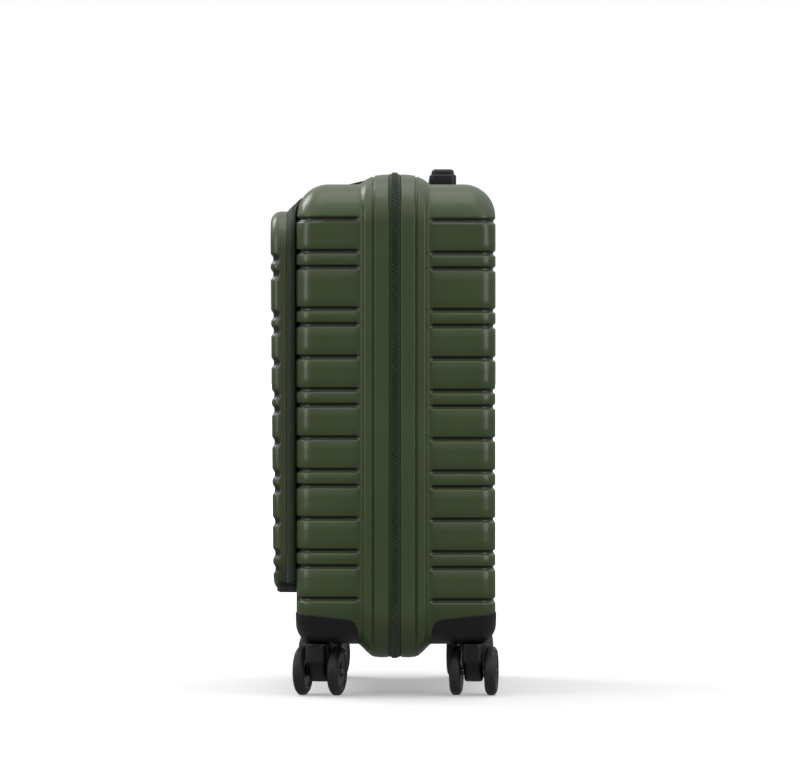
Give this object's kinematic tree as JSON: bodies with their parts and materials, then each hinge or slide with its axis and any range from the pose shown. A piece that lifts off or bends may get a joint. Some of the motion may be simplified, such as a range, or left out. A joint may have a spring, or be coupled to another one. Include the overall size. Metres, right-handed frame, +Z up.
{
  "type": "suitcase",
  "caption": "Hard shell cabin suitcase on double spinner wheels, with a zipped front pocket, combination lock and telescopic handle.",
  "frame": {"origin": "middle of the case's outline, on the floor that the wheels stand on", "axes": "+Z up; the front, with the pocket lid, faces -Y; the hinge side is at +X"},
  "size_m": [0.3716, 0.2378, 0.55],
  "materials": {
    "shell_polycarbonate": "pressed and ribbed, semi-gloss green",
    "guard_nylon": "satin black moulding",
    "handle_nylon": "satin black moulding",
    "zip_tape": "woven tape with moulded teeth",
    "lining_fabric": "woven polyester",
    "mesh_fabric": "knitted mesh",
    "webbing": "ribbed webbing with a moulded clip",
    "anodised_aluminium": "satin anodised",
    "black_zinc": "black plated casting",
    "axle_steel": "plain",
    "wheel_rubber": "matt tread on a moulded hub"
  },
  "bodies": {
    "rear_case": {"rear_shell": "shell_polycarbonate", "rear_lining": "lining_fabric", "rear_zip_tape": "zip_tape", "corner_guard_rear_left": "guard_nylon", "corner_guard_rear_right": "guard_nylon", "trolley_outer_tube_left": "anodised_aluminium", "trolley_outer_tube_right": "anodised_aluminium", "trolley_base_bracket": "handle_nylon", "trolley_cover": "lining_fabric", "trolley_bezel": "handle_nylon", "packing_strap": "webbing", "side_handle_base": "handle_nylon"},
    "front_case": {"front_shell": "shell_polycarbonate", "front_lining": "lining_fabric", "front_zip_tape": "zip_tape", "corner_guard_front_left": "guard_nylon", "corner_guard_front_right": "guard_nylon", "pocket_tray": "lining_fabric", "laptop_sleeve": "lining_fabric", "mesh_pocket": "mesh_fabric", "pocket_zip_shell_tape": "zip_tape", "lock_body": "black_zinc", "pocket_gusset": "lining_fabric"},
    "pocket_lid": {"pocket_lid_shell": "shell_polycarbonate", "pocket_zip_lid_tape": "zip_tape"},
    "trolley_middle": {"trolley_middle_tube_left": "anodised_aluminium", "trolley_middle_tube_right": "anodised_aluminium"},
    "trolley_handle": {"trolley_inner_tube_left": "anodised_aluminium", "trolley_inner_tube_right": "anodised_aluminium", "trolley_grip": "handle_nylon"},
    "trolley_button": {"trolley_button": "handle_nylon"},
    "side_handle": {"side_handle_grip": "handle_nylon"},
    "lock_release": {"lock_release_button": "black_zinc"},
    "lock_dial_1": {"lock_dial_1": "black_zinc"},
    "lock_dial_2": {"lock_dial_2": "black_zinc"},
    "lock_dial_3": {"lock_dial_3": "black_zinc"},
    "main_zip_slider_left": {"main_zip_slider_left": "black_zinc"},
    "main_zip_puller_left": {"main_zip_puller_left": "black_zinc"},
    "main_zip_slider_right": {"main_zip_slider_right": "black_zinc"},
    "main_zip_puller_right": {"main_zip_puller_right": "black_zinc"},
    "pocket_zip_slider_left": {"pocket_zip_slider_left": "black_zinc"},
    "pocket_zip_puller_left": {"pocket_zip_puller_left": "black_zinc"},
    "pocket_zip_slider_right": {"pocket_zip_slider_right": "black_zinc"},
    "pocket_zip_puller_right": {"pocket_zip_puller_right": "black_zinc"},
    "caster_front_left": {"caster_fork_front_left": "guard_nylon", "caster_axle_front_left": "axle_steel"},
    "wheel_front_left_a": {"wheel_front_left_a": "wheel_rubber"},
    "wheel_front_left_b": {"wheel_front_left_b": "wheel_rubber"},
    "caster_front_right": {"caster_fork_front_right": "guard_nylon", "caster_axle_front_right": "axle_steel"},
    "wheel_front_right_a": {"wheel_front_right_a": "wheel_rubber"},
    "wheel_front_right_b": {"wheel_front_right_b": "wheel_rubber"},
    "caster_rear_left": {"caster_fork_rear_left": "guard_nylon", "caster_axle_rear_left": "axle_steel"},
    "wheel_rear_left_a": {"wheel_rear_left_a": "wheel_rubber"},
    "wheel_rear_left_b": {"wheel_rear_left_b": "wheel_rubber"},
    "caster_rear_right": {"caster_fork_rear_right": "guard_nylon", "caster_axle_rear_right": "axle_steel"},
    "wheel_rear_right_a": {"wheel_rear_right_a": "wheel_rubber"},
    "wheel_rear_right_b": {"wheel_rear_right_b": "wheel_rubber"}
  },
  "joints": [
    {"name": "case_opening", "type": "hinge", "parent": "rear_case", "child": "front_case", "pos_m": [0.187, 0.0102, 0.29], "axis": [0, 0, 1], "range_deg": [0, 180]},
    {"name": "pocket_lid_opening", "type": "hinge", "parent": "front_case", "child": "pocket_lid", "pos_m": [0, -0.0985, 0.1075], "axis": [1, 0, 0], "range_deg": [0, 40], "deforming": ["pocket_gusset"]},
    {"name": "trolley_stage_one", "type": "slide", "parent": "rear_case", "child": "trolley_middle", "axis": [0, 0, 1], "range_m": [0, 0.24]},
    {"name": "trolley_stage_two", "type": "slide", "parent": "trolley_middle", "child": "trolley_handle", "axis": [0, 0, 1], "range_m": [0, 0.24]},
    {"name": "trolley_button_press", "type": "slide", "parent": "trolley_handle", "child": "trolley_button", "axis": [0, 0, -1], "range_m": [0, 0.003], "stiffness_N_per_m": 400, "springref_m": -0.002},
    {"name": "side_handle_swing", "type": "hinge", "parent": "rear_case", "child": "side_handle", "pos_m": [-0.1812, 0.0855, 0.29], "axis": [0, 0, -1], "range_deg": [0, 90]},
    {"name": "lock_release_slide", "type": "slide", "parent": "front_case", "child": "lock_release", "axis": [1, 0, 0], "range_m": [0, 0.003], "stiffness_N_per_m": 300, "springref_m": -0.001},
    {"name": "lock_dial_1_turn", "type": "hinge", "parent": "front_case", "child": "lock_dial_1", "pos_m": [-0.023, -0.054, 0.529], "axis": [1, 0, 0], "continuous": true},
    {"name": "lock_dial_2_turn", "type": "hinge", "parent": "front_case", "child": "lock_dial_2", "pos_m": [-0.013, -0.054, 0.529], "axis": [1, 0, 0], "continuous": true},
    {"name": "lock_dial_3_turn", "type": "hinge", "parent": "front_case", "child": "lock_dial_3", "pos_m": [-0.003, -0.054, 0.529], "axis": [1, 0, 0], "continuous": true},
    {"name": "main_zip_slide_left", "type": "slide", "parent": "front_case", "child": "main_zip_slider_left", "axis": [-1, 0, 0], "range_m": [0, 0.11]},
    {"name": "main_zip_puller_flip_left", "type": "hinge", "parent": "main_zip_slider_left", "child": "main_zip_puller_left", "pos_m": [-0.008, 0.0056, 0.5462], "axis": [-1, 0, 0], "range_deg": [0, 110]},
    {"name": "main_zip_slide_right", "type": "slide", "parent": "front_case", "child": "main_zip_slider_right", "axis": [1, 0, 0], "range_m": [0, 0.11]},
    {"name": "main_zip_puller_flip_right", "type": "hinge", "parent": "main_zip_slider_right", "child": "main_zip_puller_right", "pos_m": [0.008, 0.0056, 0.5462], "axis": [-1, 0, 0], "range_deg": [0, 110]},
    {"name": "pocket_zip_slide_left", "type": "slide", "parent": "front_case", "child": "pocket_zip_slider_left", "axis": [-1, 0, 0], "range_m": [0, 0.1]},
    {"name": "pocket_zip_puller_flip_left", "type": "hinge", "parent": "pocket_zip_slider_left", "child": "pocket_zip_puller_left", "pos_m": [-0.0055, -0.0927, 0.5171], "axis": [1, 0, 0], "range_deg": [0, 130]},
    {"name": "pocket_zip_slide_right", "type": "slide", "parent": "front_case", "child": "pocket_zip_slider_right", "axis": [1, 0, 0], "range_m": [0, 0.1]},
    {"name": "pocket_zip_puller_flip_right", "type": "hinge", "parent": "pocket_zip_slider_right", "child": "pocket_zip_puller_right", "pos_m": [0.0055, -0.0927, 0.5171], "axis": [1, 0, 0], "range_deg": [0, 130]},
    {"name": "caster_swivel_front_left", "type": "hinge", "parent": "front_case", "child": "caster_front_left", "pos_m": [-0.138, -0.0709, 0.055], "axis": [0, 0, 1], "continuous": true},
    {"name": "wheel_spin_front_left_a", "type": "hinge", "parent": "caster_front_left", "child": "wheel_front_left_a", "pos_m": [-0.15576, -0.08558, 0.0255], "axis": [0.225, 0.9744, 0], "continuous": true},
    {"name": "wheel_spin_front_left_b", "type": "hinge", "parent": "caster_front_left", "child": "wheel_front_left_b", "pos_m": [-0.14752, -0.04992, 0.0255], "axis": [0.225, 0.9744, 0], "continuous": true},
    {"name": "caster_swivel_front_right", "type": "hinge", "parent": "front_case", "child": "caster_front_right", "pos_m": [0.138, -0.0709, 0.055], "axis": [0, 0, 1], "continuous": true},
    {"name": "wheel_spin_front_right_a", "type": "hinge", "parent": "caster_front_right", "child": "wheel_front_right_a", "pos_m": [0.12024, -0.08558, 0.0255], "axis": [0.225, 0.9744, 0], "continuous": true},
    {"name": "wheel_spin_front_right_b", "type": "hinge", "parent": "caster_front_right", "child": "wheel_front_right_b", "pos_m": [0.12848, -0.04992, 0.0255], "axis": [0.225, 0.9744, 0], "continuous": true},
    {"name": "caster_swivel_rear_left", "type": "hinge", "parent": "rear_case", "child": "caster_rear_left", "pos_m": [-0.138, 0.0911, 0.055], "axis": [0, 0, 1], "continuous": true},
    {"name": "wheel_spin_rear_left_a", "type": "hinge", "parent": "caster_rear_left", "child": "wheel_rear_left_a", "pos_m": [-0.15384, 0.07436, 0.0255], "axis": [0.1045, 0.9945, 0], "continuous": true},
    {"name": "wheel_spin_rear_left_b", "type": "hinge", "parent": "caster_rear_left", "child": "wheel_rear_left_b", "pos_m": [-0.15001, 0.11076, 0.0255], "axis": [0.1045, 0.9945, 0], "continuous": true},
    {"name": "caster_swivel_rear_right", "type": "hinge", "parent": "rear_case", "child": "caster_rear_right", "pos_m": [0.138, 0.0911, 0.055], "axis": [0, 0, 1], "continuous": true},
    {"name": "wheel_spin_rear_right_a", "type": "hinge", "parent": "caster_rear_right", "child": "wheel_rear_right_a", "pos_m": [0.12216, 0.07436, 0.0255], "axis": [0.1045, 0.9945, 0], "continuous": true},
    {"name": "wheel_spin_rear_right_b", "type": "hinge", "parent": "caster_rear_right", "child": "wheel_rear_right_b", "pos_m": [0.12599, 0.11076, 0.0255], "axis": [0.1045, 0.9945, 0], "continuous": true}
  ]
}
